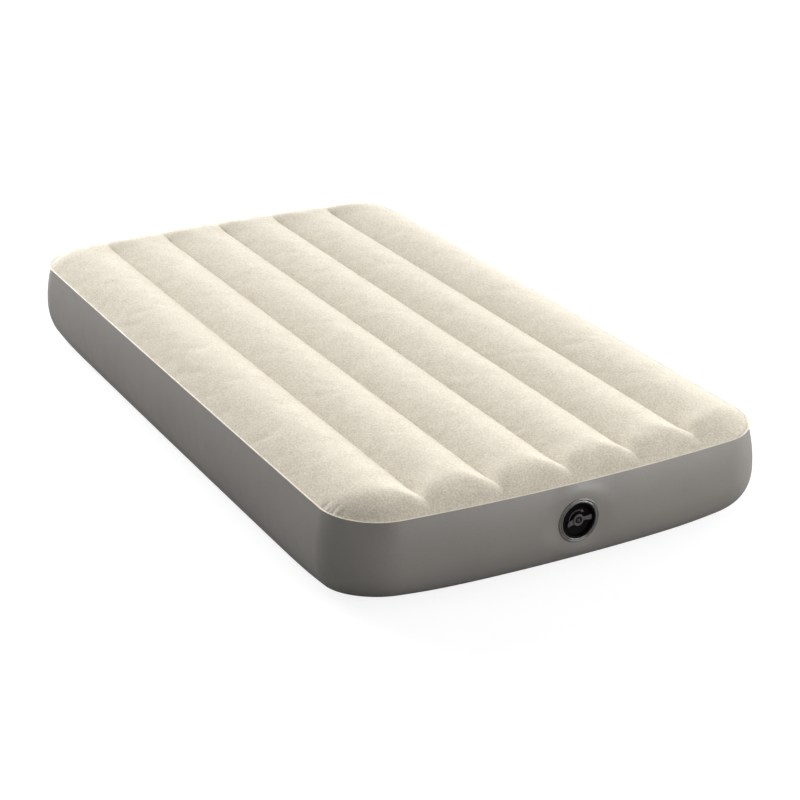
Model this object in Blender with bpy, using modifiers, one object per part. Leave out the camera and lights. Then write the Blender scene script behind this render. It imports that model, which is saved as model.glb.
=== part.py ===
"""Single-high twin air mattress, inflated, with six lengthwise rolls and a screw-in valve in one end.

Frame: metres, +Z up, +Y along the length, -Y at the valve end, origin at the bottom centre.
The envelope is a flocked top sheet, a side band and a bottom sheet. Five inner beams tie the top
sheet to the bottom sheet along the creases. The valve stands in the middle of the -Y end wall.
"""

import math

import bmesh
import bpy
from mathutils import Matrix, Vector

# Envelope
WIDTH = 1.02
LENGTH = 1.83
HEIGHT = 0.22
WALL_BULGE = 0.015          # how far the side band swells out between its two welds
END_BOW = 0.030             # how far each end curves out in plan
SIDE_BOW = 0.002            # how far each long side curves out in plan
CORNER_RADIUS = 0.11
SHEET = 0.001               # wall thickness of every sheet
GAP = 0.0003                # room between neighbouring pieces
MID_HEIGHT = HEIGHT / 2
HALF_WIDTH = WIDTH / 2 - WALL_BULGE - SIDE_BOW
HALF_LENGTH = LENGTH / 2 - WALL_BULGE - END_BOW
CORNER_X = HALF_WIDTH - CORNER_RADIUS
CORNER_Y = HALF_LENGTH - CORNER_RADIUS

# Rolls and creases
BEAM_COUNT = 5
ROLL_PITCH = 0.157          # distance between two creases
TOP_CREASE = 0.022          # depth of a crease in the top sheet
BOTTOM_CREASE = 0.010       # the bottom is pressed flat, so its creases are shallow
CREASE_FULL = 0.790         # a crease keeps its whole depth up to this distance from the middle
CREASE_END = 0.855          # and has run out here
TOP_RISE = 0.034            # height of the crest of the rolls above the top weld
BOTTOM_RISE = 0.020         # height of the bottom weld above the floor
TOP_EDGE = 0.090            # width of the rounded edge of the top sheet
BOTTOM_EDGE = 0.070
LIP = 0.0015                # the side band stops this far short of each weld line
BAND_TOP = HEIGHT - TOP_RISE - LIP
BAND_BOTTOM = BOTTOM_RISE + LIP

# Inner beams
TAPE_HALF_WIDTH = 0.018
TAPE = 0.0008
SLANT = 1.13                # a sheet lying on a crease's slope takes this much more height
BEAM_REACH = 0.89           # share of the half length that a beam reaches

# Shares of the half length where the sheets have a row of points, closest near the ends
ROW_SHARES = (0.0, 0.30, 0.60, 0.80, 0.89, 0.93, 0.96, 0.982, 1.0)
CORNER_STEPS = 5

# Valve. It stands in a flat patch of the end wall.
MM = 0.001
VALVE_FRONT = LENGTH / 2 - 0.0015
PATCH_FACE = LENGTH / 2 - 0.004
PATCH_HALF_WIDTH = 0.057
PATCH_HALF_HEIGHT = 0.056
VALVE_STEPS = 32
SMALL_STEPS = 24
PIN_STEPS = 16

# Valve radii and depths, in millimetres. Depth 0 is the collar's front, and depths fall going in.
CHAMFER = 0.6
ROOM = 0.3                  # room between neighbouring valve pieces
COLLAR_RADIUS = 47.0
COLLAR_BORE = 38.3
COLLAR_TUBE = 40.2
COLLAR_END = -36.0
HOLE_RADIUS = COLLAR_RADIUS + 0.5
FLANGE_RADIUS = 53.0
FLANGE_FACE = -3.8
FLANGE_BACK = -5.0
STOP_BORE = 34.6            # inner lip that keeps the socket in the collar
STOP_FACE = -34.6
SOCKET_RADIUS = 37.9
SOCKET_BORE = 33.5
SOCKET_FACE = -12.2
SOCKET_END = -34.2
GASKET_FACE = -9.8
GASKET_BACK = -11.9
CAP_RADIUS = 37.5
CAP_FRONT = -0.3
SKIRT_RADIUS = 33.0
SKIRT_BORE = 30.5
SKIRT_END = -28.0
RECESS_RADIUS = 33.5
FLOOR_FACE = -7.5           # floor of the recess in the cap's face
FLOOR_BACK = -9.5
RIDGE_RADIUS = 19.9         # low ring on the floor, around the hub
RIDGE_TOP = -6.6
PORT_BORE = 9.3
PORT_WALL = 11.5
PORT_END = -20.0
SPIDER_FACE = -17.2
SPIDER_BACK = -19.6
SPIDER_BAR = 1.0            # half width of each bar of the cross in the port
SPIDER_ARM = PORT_BORE + 1.1    # the bars end inside the port's wall
HUB_RADIUS = 12.3
HUB_FRONT = -2.5
HUB_BACK = -6.05
SPIGOT_RADIUS = 9.0
SPIGOT_TIP = 8.2
SPIGOT_END = -12.0
STRAP_FRONT = -4.2
STRAP_BACK = -6.0
STRAP_HINGE = 29.3
STRAP_HALF_WIDTH = 5.5
FOOT_END = 32.3
FLAP_RADIUS = 11.9
FLAP_FACE = -20.3
FLAP_BACK = -21.5
FLAP_HINGE_HEIGHT = 14.5
FLAP_HINGE_DEPTH = -21.2
KNUCKLE_RADIUS = 2.0
KNUCKLE_HALF = 3.25
LUG_INNER = 3.6
LUG_OUTER = 6.4
LUG_HALF_HEIGHT = 2.0
LUG_END = -23.4
PIN_RADIUS = 1.0
PIN_BORE = 1.35
PIN_HALF = 6.8

for old in list(bpy.data.objects):
    bpy.data.objects.remove(old)

parts = bpy.data.collections.new("air_mattress")
cutters = bpy.data.collections.new("cutters")
bpy.context.scene.collection.children.link(parts)
bpy.context.scene.collection.children.link(cutters)


# ---------------------------------------------------------------- materials

def linear(channel):
    """An sRGB channel from 0 to 255 as the linear value that Blender uses."""
    c = channel / 255
    return c / 12.92 if c <= 0.04045 else ((c + 0.055) / 1.055) ** 2.4


def material(name, colour, roughness, alpha=1.0):
    made = bpy.data.materials.new(name)
    made.use_nodes = True
    shader = made.node_tree.nodes["Principled BSDF"]
    shader.inputs["Base Color"].default_value = (*[linear(c) for c in colour], 1.0)
    shader.inputs["Roughness"].default_value = roughness
    shader.inputs["Metallic"].default_value = 0.0
    shader.inputs["Alpha"].default_value = alpha
    return made


FLOCKED = material("flocked_cream", (226, 216, 198), 0.95)
SIDE_VINYL = material("side_vinyl", (133, 129, 125), 0.50)
BASE_VINYL = material("base_vinyl", (112, 109, 106), 0.60)
FIBRE = material("beam_fibre", (228, 228, 224), 0.85)
TAPE_VINYL = material("tape_vinyl", (205, 203, 198), 0.60)
CLEAR_VINYL = material("collar_vinyl", (150, 147, 143), 0.30, 0.8)
BLACK_PLASTIC = material("black_plastic", (16, 16, 17), 0.40)
SOFT_BLACK = material("plug_vinyl", (38, 37, 37), 0.50)
SEAL_RUBBER = material("seal_rubber", (24, 24, 24), 0.70)


# ---------------------------------------------------------------- building helpers

def add_object(name, mesh, look=None, parent=None, collection=parts):
    made = bpy.data.objects.new(name, mesh)
    collection.objects.link(made)
    if look is not None:
        mesh.materials.append(look)
    if parent is not None:
        made.parent = parent
    return made


def add_cutter(name, mesh, parent=None):
    made = add_object(name, mesh, None, parent, cutters)
    made.hide_render = True
    made.display_type = "WIRE"
    return made


def finished(bm, name):
    mesh = bpy.data.meshes.new(name)
    bm.to_mesh(mesh)
    bm.free()
    return mesh


def thicken(target, thickness, offset):
    solid = target.modifiers.new("thickness", "SOLIDIFY")
    solid.thickness = thickness
    solid.offset = offset
    solid.use_even_offset = True
    solid.use_rim = True
    return solid


def boolean(target, other, operation):
    cut = target.modifiers.new(operation.lower() + "_" + other.name, "BOOLEAN")
    cut.object = other
    cut.operation = operation
    cut.solver = "EXACT"
    return cut


def round_off(mesh):
    mesh.shade_smooth()
    mesh.set_sharp_from_angle(angle=math.radians(35))


def sheet_mesh(name, columns, rows, place):
    """An open sheet: a grid primitive whose point in column i and row j moves to place(i, j)."""
    bm = bmesh.new()
    bmesh.ops.create_grid(bm, x_segments=columns - 1, y_segments=rows - 1, size=1.0)
    for vert in bm.verts:
        i = round((vert.co.x + 1) / 2 * (columns - 1))
        j = round((vert.co.y + 1) / 2 * (rows - 1))
        vert.co = place(i, j)
    bm.normal_update()
    return finished(bm, name)


def turned_mesh(name, profile, closed):
    """The half section that a Screw modifier turns: (radius, height) points, down the outer side."""
    bm = bmesh.new()
    points = [bm.verts.new((radius, 0.0, height)) for radius, height in profile]
    for a, b in zip(points, points[1:]):
        bm.edges.new((a, b))
    if closed:
        bm.edges.new((points[-1], points[0]))
    return finished(bm, name)


def turned(name, profile_mm, look, parent, steps=VALVE_STEPS, closed=True):
    """A turned piece about its parent's Z axis, from a profile in millimetres."""
    profile = [(radius * MM, depth * MM) for radius, depth in profile_mm]
    made = add_object(name, turned_mesh(name, profile, closed), look, parent)
    screw = made.modifiers.new("turn", "SCREW")
    screw.steps = steps
    screw.render_steps = steps
    screw.use_merge_vertices = True
    screw.merge_threshold = 0.00002
    screw.use_smooth_shade = True
    return made


def box_mesh(name, low, high):
    """A box between two corners, in millimetres."""
    bm = bmesh.new()
    low, high = Vector(low) * MM, Vector(high) * MM
    bmesh.ops.create_cube(bm, size=1.0)
    bmesh.ops.scale(bm, vec=high - low, verts=bm.verts)
    bmesh.ops.translate(bm, vec=(low + high) / 2, verts=bm.verts)
    return finished(bm, name)


def rod_mesh(name, radius, half_length, centre, turn, segments):
    """A cylinder about the point centre, in millimetres, its Z axis first turned by a matrix."""
    bm = bmesh.new()
    bmesh.ops.create_cone(
        bm, cap_ends=True, segments=segments,
        radius1=radius * MM, radius2=radius * MM, depth=2 * half_length * MM,
    )
    move = Matrix.Translation(Vector(centre) * MM) @ turn
    bmesh.ops.transform(bm, matrix=move, verts=bm.verts)
    return finished(bm, name)


def plate_mesh(name, outline, low, high):
    """A flat counter-clockwise outline given its thickness by an extrusion, in millimetres."""
    bm = bmesh.new()
    base = bm.faces.new([bm.verts.new(Vector((x, y, low)) * MM) for x, y in outline])
    grown = bmesh.ops.extrude_face_region(bm, geom=[base])
    tops = [item for item in grown["geom"] if isinstance(item, bmesh.types.BMVert)]
    bmesh.ops.translate(bm, vec=(0, 0, (high - low) * MM), verts=tops)
    bmesh.ops.recalc_face_normals(bm, faces=bm.faces)
    return finished(bm, name)


# ---------------------------------------------------------------- envelope geometry

def column_positions():
    """Widths where the sheets have a column of points: creases, crests, patch edges, corners."""
    half = [PATCH_HALF_WIDTH]
    half += [ROLL_PITCH * quarter / 4 for quarter in range(2 * BEAM_COUNT)]
    half += [CORNER_X + CORNER_RADIUS * math.sin(math.pi / 2 * k / CORNER_STEPS)
             for k in range(CORNER_STEPS + 1)]
    half = sorted(half)
    return [-x for x in reversed(half[1:])] + half


COLUMNS = column_positions()
ROWS = [-share for share in reversed(ROW_SHARES[1:])] + list(ROW_SHARES)
CREASES = [(k - (BEAM_COUNT - 1) / 2) * ROLL_PITCH for k in range(BEAM_COUNT)]


def half_length_at(x):
    """Distance from the middle to the rounded outline, before the bow, on the line at this x."""
    over = abs(x) - CORNER_X
    if over <= 0:
        return HALF_LENGTH
    return CORNER_Y + math.sqrt(max(CORNER_RADIUS ** 2 - over ** 2, 0.0))


def bowed(x, y):
    """Swells the straight sides of the outline, as air pressure does."""
    u, v = x / HALF_WIDTH, y / HALF_LENGTH
    return x + SIDE_BOW * (1 - v * v) * u, y + END_BOW * (1 - u * u) * v


def inset(x, y):
    """Distance inside the rounded outline."""
    over_x, over_y = abs(x) - CORNER_X, abs(y) - CORNER_Y
    corner = math.hypot(max(over_x, 0.0), max(over_y, 0.0))
    return CORNER_RADIUS - corner - min(max(over_x, over_y), 0.0)


def outward(x, y):
    """Unit vector out of the rounded outline at one of its points."""
    over_x, over_y = abs(x) - CORNER_X, abs(y) - CORNER_Y
    if over_y <= 0:
        over_x, over_y = 1.0, 0.0
    elif over_x <= 0:
        over_x, over_y = 0.0, 1.0
    return Vector((math.copysign(over_x, x), math.copysign(over_y, y), 0.0)).normalized()


def smooth_step(low, high, value):
    t = min(max((value - low) / (high - low), 0.0), 1.0)
    return t * t * (3 - 2 * t)


def crease_share(x, y):
    """1 on a crease and 0 on a crest, fading out towards the ends of the mattress."""
    outer = CREASES[-1]
    if abs(x) <= outer:
        place = x / ROLL_PITCH
        nearest = min(abs(place - c / ROLL_PITCH) for c in CREASES)
    else:
        nearest = min((abs(x) - outer) / ROLL_PITCH, 0.5)
    return (1 - 2 * nearest) ** 2 * (1 - smooth_step(CREASE_FULL, CREASE_END, abs(y)))


def edge_share(x, y, width):
    """1 at the weld and 0 where the rounded edge meets the rolls."""
    return max(1 - inset(x, y) / width, 0.0) ** 2


def top_height(x, y):
    return HEIGHT - TOP_RISE * edge_share(x, y, TOP_EDGE) - TOP_CREASE * crease_share(x, y)


def bottom_height(x, y):
    """The lower half of each crease is pressed flat on the floor."""
    pressed = max(crease_share(x, y) - 0.25, 0.0) / 0.75
    return BOTTOM_RISE * edge_share(x, y, BOTTOM_EDGE) + BOTTOM_CREASE * pressed


def sheet_point(i, j, height):
    x = COLUMNS[i]
    y = ROWS[j] * half_length_at(x)
    return Vector((*bowed(x, y), height(x, y)))


def outline_points():
    """The outline's points in order, at the same places as the edges of the two sheets."""
    last = COLUMNS[-1]
    side = half_length_at(last)
    loop = [(x, -half_length_at(x)) for x in COLUMNS]
    loop += [(last, share * side) for share in ROWS[1:]]
    loop += [(x, half_length_at(x)) for x in reversed(COLUMNS[:-1])]
    loop += [(-last, share * side) for share in reversed(ROWS[1:-1])]
    return loop


# ---------------------------------------------------------------- envelope

def build_sheet(name, height, look, upside_down):
    mesh = sheet_mesh(name, len(COLUMNS), len(ROWS), lambda i, j: sheet_point(i, j, height))
    if upside_down:
        mesh.flip_normals()
    round_off(mesh)
    made = add_object(name, mesh, look)
    thicken(made, SHEET, -1.0)
    return made


def band_point(x, y, height):
    """A point of the side band's outer face: an arc from weld to weld, flat around the valve."""
    half = (BAND_TOP - BAND_BOTTOM) / 2
    arc = (half * half + WALL_BULGE ** 2) / (2 * WALL_BULGE)
    above = height - (BAND_TOP + BAND_BOTTOM) / 2
    swell = math.sqrt(arc * arc - above * above) - (arc - WALL_BULGE)
    point = Vector((*bowed(x, y), 0.0)) + outward(x, y) * swell
    point.z = height
    on_patch = abs(x) <= PATCH_HALF_WIDTH and abs(height - MID_HEIGHT) <= PATCH_HALF_HEIGHT + GAP
    if y < 0 and on_patch:
        point.y = -PATCH_FACE
    return point


def build_side_band():
    steps = [MID_HEIGHT + PATCH_HALF_HEIGHT * step / 2 for step in range(-2, 3)]
    heights = [BAND_BOTTOM, *steps, BAND_TOP]
    outline = outline_points()
    bm = bmesh.new()
    ring = [bm.verts.new(band_point(x, y, heights[0])) for x, y in outline]
    edges = [bm.edges.new((a, b)) for a, b in zip(ring, ring[1:] + ring[:1])]
    for height in heights[1:]:
        grown = bmesh.ops.extrude_edge_only(bm, edges=edges)["geom"]
        edges = [item for item in grown if isinstance(item, bmesh.types.BMEdge)]
        new = {item for item in grown if isinstance(item, bmesh.types.BMVert)}
        ring = [next(e.other_vert(v) for e in v.link_edges if e.other_vert(v) in new) for v in ring]
        for vert, (x, y) in zip(ring, outline):
            vert.co = band_point(x, y, height)
    bmesh.ops.recalc_face_normals(bm, faces=bm.faces)
    mesh = finished(bm, "side_band")
    round_off(mesh)
    band = add_object("side_band", mesh, SIDE_VINYL)
    thicken(band, SHEET, -1.0)
    hole = rod_mesh("valve_hole", HOLE_RADIUS, 30.0, (0.0, 0.0, 0.0), Matrix(), VALVE_STEPS)
    boolean(band, add_cutter("valve_hole", hole, valve_empty("hole_axis")), "DIFFERENCE")


def facet_height(crease, x, y, height):
    """Height of the flat facet between a crease and the next column of the sheet."""
    reach = ROLL_PITCH / 4
    foot = height(crease, y)
    side = height(crease + math.copysign(reach, x - crease), y)
    return foot + (side - foot) * abs(x - crease) / reach


def build_beam(number, crease):
    """One inner beam: a fibre web between two tapes that are welded along a crease."""
    shares = [share for share in ROWS if abs(share) <= BEAM_REACH + 1e-9]
    offsets = (-TAPE_HALF_WIDTH, 0.0, TAPE_HALF_WIDTH)
    under_sheet = SHEET * SLANT + GAP
    under_tape = under_sheet + TAPE * SLANT + GAP

    def tape_place(height, sign):
        def place(i, j):
            x = crease + offsets[i]
            y = shares[j] * HALF_LENGTH
            level = facet_height(crease, x, y, height) - sign * under_sheet
            return Vector((*bowed(x, y), level))
        return place

    def web_place(i, j):
        y = shares[j] * HALF_LENGTH
        levels = (bottom_height(crease, y) + under_tape, top_height(crease, y) - under_tape)
        return Vector((*bowed(crease, y), levels[i]))

    prefix = f"beam_{number}_"
    for label, height, sign in (("top_tape", top_height, 1), ("bottom_tape", bottom_height, -1)):
        mesh = sheet_mesh(prefix + label, len(offsets), len(shares), tape_place(height, sign))
        if sign < 0:
            mesh.flip_normals()
        thicken(add_object(prefix + label, mesh, TAPE_VINYL), TAPE, -1.0)
    mesh = sheet_mesh(prefix + "web", 2, len(shares), web_place)
    thicken(add_object(prefix + "web", mesh, FIBRE), TAPE, 0.0)


# ---------------------------------------------------------------- valve

def valve_empty(name, right=0.0, up=0.0, out=0.0):
    """An empty in the valve's frame, offset in millimetres: X level, Y up, Z out of the end wall."""
    made = bpy.data.objects.new(name, None)
    parts.objects.link(made)
    made.location = (right * MM, -VALVE_FRONT - out * MM, MID_HEIGHT + up * MM)
    made.rotation_euler = (math.pi / 2, 0.0, 0.0)
    return made


def back_to_centre(name, hinge, right, up, out):
    """An empty on the valve's axis that rides on a hinge's empty."""
    made = bpy.data.objects.new(name, None)
    parts.objects.link(made)
    made.parent = hinge
    made.matrix_local = Matrix.Translation(Vector((-right, -up, -out)) * MM)
    return made


ALONG_X = Matrix.Rotation(math.pi / 2, 4, "Y")
FLAP_PIN_CENTRE = (0.0, FLAP_HINGE_HEIGHT, FLAP_HINGE_DEPTH)


def build_collar(axis):
    """Clear vinyl collar: a lip outside the wall, a weld flange inside it and a tube going in."""
    profile = [
        (COLLAR_BORE + CHAMFER, 0.0), (COLLAR_RADIUS - CHAMFER, 0.0), (COLLAR_RADIUS, -CHAMFER),
        (COLLAR_RADIUS, FLANGE_FACE), (FLANGE_RADIUS, FLANGE_FACE), (FLANGE_RADIUS, FLANGE_BACK),
        (COLLAR_TUBE, FLANGE_BACK), (COLLAR_TUBE, COLLAR_END), (STOP_BORE, COLLAR_END),
        (STOP_BORE, STOP_FACE), (COLLAR_BORE, STOP_FACE), (COLLAR_BORE, -CHAMFER),
    ]
    turned("valve_collar", profile, CLEAR_VINYL, axis)


def build_socket(axis):
    """Black ring bonded in the collar, which the cap screws into."""
    profile = [
        (SOCKET_RADIUS, SOCKET_FACE), (SOCKET_RADIUS, SOCKET_END), (SOCKET_BORE, SOCKET_END),
        (SOCKET_BORE, SOCKET_FACE - CHAMFER), (SOCKET_BORE + CHAMFER, SOCKET_FACE),
    ]
    turned("threaded_socket", profile, BLACK_PLASTIC, axis)


def build_cap_gasket(axis):
    """Flat sealing ring between the cap's head and the socket."""
    inner, outer, edge = SOCKET_BORE + 0.1, CAP_RADIUS - ROOM, 0.4
    profile = [
        (outer - edge, GASKET_FACE), (outer, GASKET_FACE - edge),
        (outer, GASKET_BACK + edge), (outer - edge, GASKET_BACK),
        (inner + edge, GASKET_BACK), (inner, GASKET_BACK + edge),
        (inner, GASKET_FACE - edge), (inner + edge, GASKET_FACE),
    ]
    turned("cap_gasket", profile, SEAL_RUBBER, axis)


def build_main_cap(axis):
    """Screw-in cap: recessed face with a low ridge, skirt, and the inflation port in the middle."""
    profile = [
        (CAP_RADIUS - CHAMFER, CAP_FRONT), (CAP_RADIUS, CAP_FRONT - CHAMFER),
        (CAP_RADIUS, FLOOR_BACK), (SKIRT_RADIUS, FLOOR_BACK),
        (SKIRT_RADIUS, SKIRT_END + CHAMFER), (SKIRT_RADIUS - CHAMFER, SKIRT_END),
        (SKIRT_BORE, SKIRT_END), (SKIRT_BORE, FLOOR_BACK), (PORT_WALL, FLOOR_BACK),
        (PORT_WALL, PORT_END), (PORT_BORE, PORT_END), (PORT_BORE, FLOOR_FACE),
        (RIDGE_RADIUS - 0.9, FLOOR_FACE), (RIDGE_RADIUS - 0.5, RIDGE_TOP),
        (RIDGE_RADIUS + 0.5, RIDGE_TOP), (RIDGE_RADIUS + 0.9, FLOOR_FACE),
        (RECESS_RADIUS, FLOOR_FACE), (RECESS_RADIUS + 1.0, CAP_FRONT - 0.5),
        (RECESS_RADIUS + 1.5, CAP_FRONT),
    ]
    cap = turned("main_cap", profile, BLACK_PLASTIC, axis)
    for name, low_x, high_x in (("right", LUG_INNER, LUG_OUTER), ("left", -LUG_OUTER, -LUG_INNER)):
        low = (low_x, FLAP_HINGE_HEIGHT - LUG_HALF_HEIGHT, LUG_END)
        high = (high_x, FLAP_HINGE_HEIGHT + LUG_HALF_HEIGHT, FLOOR_BACK + 1.0)
        boolean(cap, add_cutter("lug_" + name, box_mesh("lug", low, high), axis), "UNION")
    bars = (
        ("level", SPIDER_ARM, SPIDER_BAR, SPIDER_FACE - 1.0),
        ("upright", SPIDER_BAR, SPIDER_ARM, SPIDER_FACE),
    )
    for name, x, y, face in bars:
        bar = box_mesh("bar", (-x, -y, SPIDER_BACK), (x, y, face))
        boolean(cap, add_cutter("spider_" + name, bar, axis), "UNION")
    bore = rod_mesh("pin_hole", PIN_BORE, PIN_HALF + 2, FLAP_PIN_CENTRE, ALONG_X, PIN_STEPS)
    boolean(cap, add_cutter("lug_pin_hole", bore, axis), "DIFFERENCE")


def build_strap_foot(axis):
    """The end of the plug's strap that is fixed to the cap."""
    start, end, half = STRAP_HINGE + ROOM, FOOT_END, STRAP_HALF_WIDTH
    outline = [
        (start, -half), (end - CHAMFER, -half), (end, CHAMFER - half),
        (end, half - CHAMFER), (end - CHAMFER, half), (start, half),
    ]
    mesh = plate_mesh("strap_foot", outline, FLOOR_FACE + ROOM, STRAP_FRONT)
    add_object("strap_foot", mesh, SOFT_BLACK, axis)


def build_plug():
    """Inflation plug with its strap to the right and its pull tab to the left."""
    offset = (STRAP_HINGE, 0.0, STRAP_FRONT)
    centre = back_to_centre("plug_centre", valve_empty("plug_hinge", *offset), *offset)
    low = HUB_FRONT - CHAMFER       # face of the hub between its raised rings
    profile = [
        (0.0, low), (4.2, low), (4.8, HUB_FRONT), (8.6, HUB_FRONT), (9.2, low + 0.1),
        (10.2, low + 0.1), (10.8, HUB_FRONT), (HUB_RADIUS - 0.7, HUB_FRONT), (HUB_RADIUS, low - 0.1),
        (HUB_RADIUS, HUB_BACK), (SPIGOT_RADIUS, HUB_BACK), (SPIGOT_RADIUS, FLOOR_FACE - 0.1),
        (SPIGOT_TIP, SPIGOT_END), (0.0, SPIGOT_END),
    ]
    plug = turned("inflation_plug", profile, SOFT_BLACK, centre, SMALL_STEPS, closed=False)
    wide, narrow, end = STRAP_HALF_WIDTH, 4.0, STRAP_HINGE - ROOM
    strap = [(9, -narrow), (20, -narrow), (end, -wide), (end, wide), (20, narrow), (9, narrow)]
    tab = [
        (-8, 4), (-16.5, 1.2), (-23, -1.6), (-24.4, -6), (-23.6, -12.2), (-16, -9.4), (-8, -8.6),
    ]
    for name, outline in (("strap", strap), ("tab", tab)):
        mesh = plate_mesh(name, outline, STRAP_BACK, STRAP_FRONT)
        boolean(plug, add_cutter("plug_" + name, mesh, centre), "UNION")
    eye = rod_mesh("eye", 1.5, 5.0, (-20.6, -6.4, -5.0), Matrix(), PIN_STEPS)
    boolean(plug, add_cutter("tab_eye", eye, centre), "DIFFERENCE")
    face, back = HUB_BACK - ROOM, FLOOR_FACE + ROOM
    ring = [
        (HUB_RADIUS - 0.5, face), (HUB_RADIUS - 0.5, back), (SPIGOT_RADIUS + 0.5, back),
        (SPIGOT_RADIUS + 0.5, face),
    ]
    turned("plug_seal", ring, SEAL_RUBBER, centre, SMALL_STEPS)


def build_check_flap():
    """Rubber flap behind the port. It hangs from a pin and swings inwards."""
    hinge = valve_empty("flap_hinge", *FLAP_PIN_CENTRE)
    centre = back_to_centre("flap_centre", hinge, *FLAP_PIN_CENTRE)
    profile = [
        (0.0, FLAP_FACE), (FLAP_RADIUS - 0.4, FLAP_FACE), (FLAP_RADIUS, FLAP_FACE - 0.4),
        (FLAP_RADIUS, FLAP_BACK), (0.0, FLAP_BACK),
    ]
    flap = turned("check_flap", profile, SEAL_RUBBER, centre, SMALL_STEPS, closed=False)
    low, high = (-3.0, 8.0, FLAP_BACK + 0.2), (3.0, FLAP_HINGE_HEIGHT - 0.5, FLAP_FACE - 0.2)
    boolean(flap, add_cutter("flap_tongue", box_mesh("tongue", low, high), centre), "UNION")
    knuckle = rod_mesh(
        "knuckle", KNUCKLE_RADIUS, KNUCKLE_HALF, FLAP_PIN_CENTRE, ALONG_X, PIN_STEPS
    )
    boolean(flap, add_cutter("flap_knuckle", knuckle, centre), "UNION")
    bore = rod_mesh("bore", PIN_BORE, PIN_HALF + 2, FLAP_PIN_CENTRE, ALONG_X, PIN_STEPS)
    boolean(flap, add_cutter("knuckle_bore", bore, centre), "DIFFERENCE")


def build_flap_pin(axis):
    mesh = rod_mesh("flap_pin", PIN_RADIUS, PIN_HALF, FLAP_PIN_CENTRE, ALONG_X, PIN_STEPS)
    round_off(mesh)
    add_object("flap_pin", mesh, BLACK_PLASTIC, axis)


def build_valve():
    axis = valve_empty("valve_axis")
    build_collar(axis)
    build_socket(axis)
    build_cap_gasket(axis)
    build_main_cap(axis)
    build_strap_foot(axis)
    build_flap_pin(axis)
    build_plug()
    build_check_flap()


build_sheet("top_sheet", top_height, FLOCKED, upside_down=False)
build_sheet("bottom_sheet", bottom_height, BASE_VINYL, upside_down=True)
build_side_band()
for beam, crease_x in enumerate(CREASES, start=1):
    build_beam(beam, crease_x)
build_valve()
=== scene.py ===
"""Looks of an inflated single-high twin air mattress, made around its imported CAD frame.

Everything is in metres in the frame's own axes: +Z up, +Y along the length, the valve in the -Y end.
The three sheets of the envelope are fine meshes that stand for the plain CAD sheets. The top one is
inflated by a cloth simulation between its welds. The valve's pieces are turned and extruded in
millimetres in the valve's own axes (X level, Y up, Z out of the wall) and then put in their place.
"""

import math

import bmesh
import bpy
import numpy as np
from mathutils import Matrix, Vector


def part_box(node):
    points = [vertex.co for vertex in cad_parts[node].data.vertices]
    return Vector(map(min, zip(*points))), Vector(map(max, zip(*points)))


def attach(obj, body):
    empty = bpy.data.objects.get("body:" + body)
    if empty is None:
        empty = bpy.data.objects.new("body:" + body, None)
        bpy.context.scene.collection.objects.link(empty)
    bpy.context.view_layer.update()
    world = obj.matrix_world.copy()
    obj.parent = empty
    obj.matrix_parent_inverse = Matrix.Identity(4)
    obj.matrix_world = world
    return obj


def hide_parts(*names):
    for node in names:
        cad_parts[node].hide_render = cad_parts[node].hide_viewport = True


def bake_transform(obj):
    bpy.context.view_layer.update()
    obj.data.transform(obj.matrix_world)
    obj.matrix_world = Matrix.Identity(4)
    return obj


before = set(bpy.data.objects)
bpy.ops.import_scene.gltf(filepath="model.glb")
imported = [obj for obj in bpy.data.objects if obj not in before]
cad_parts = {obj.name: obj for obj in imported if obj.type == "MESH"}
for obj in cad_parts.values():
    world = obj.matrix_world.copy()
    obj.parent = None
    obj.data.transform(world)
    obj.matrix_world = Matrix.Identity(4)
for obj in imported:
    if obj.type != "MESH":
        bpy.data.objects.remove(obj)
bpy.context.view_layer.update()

MM = 0.001

# ---- sizes, from the frame

TOP_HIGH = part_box("top_sheet")[1]
BAND_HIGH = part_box("side_band")[1]
COLLAR_LOW, COLLAR_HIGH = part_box("valve_collar")
BEAM_COUNT = sum(name.endswith("_web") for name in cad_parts)
BEAM_BOXES = [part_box(f"beam_{number}_web") for number in range(1, BEAM_COUNT + 1)]
CREASES = np.array([(low.x + high.x) / 2 for low, high in BEAM_BOXES])
PITCH = CREASES[1] - CREASES[0]

CREST = TOP_HIGH.z
SIDE_BOW = 0.002                # how far each long weld curves out in plan
END_BOW = 0.030                 # how far each end weld curves out in plan
HALF_WIDTH = TOP_HIGH.x - SIDE_BOW
HALF_LENGTH = TOP_HIGH.y - END_BOW
BULGE = BAND_HIGH.x - TOP_HIGH.x    # how far the wall stands out past the welds
CORNER_RADIUS = 0.11
CORNER_X = HALF_WIDTH - CORNER_RADIUS
CORNER_Y = HALF_LENGTH - CORNER_RADIUS
SHEET = 0.0008                  # thickness of all three sheets
TOUCHING = 1e-5                 # points closer than this to a weld or crease lie on it
SAME_POINT = 1e-6

# Top sheet
EDGE_DROP = 0.032               # from the crest down to the weld
EDGE_WIDTH = 0.092              # the fall to the weld starts this far inside it
EDGE_POWER = 2.1
CREASE_DEPTH = 0.022
CREASE_FULL = 0.775             # distance from the middle where a crease starts to run out
CREASE_END = 0.860
CREASE_TAPER_START = CREASE_FULL - 0.05
CREASE_TAPER = 0.6              # share of its width that a crease loses towards its end
CREASE_HELD = CREASE_FULL + 0.015
SWELL_ROOM = 0.0015             # the cloth starts this much lower and swells back up
WELD_TOP = CREST - EDGE_DROP
TOP_SEED = 7

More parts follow.
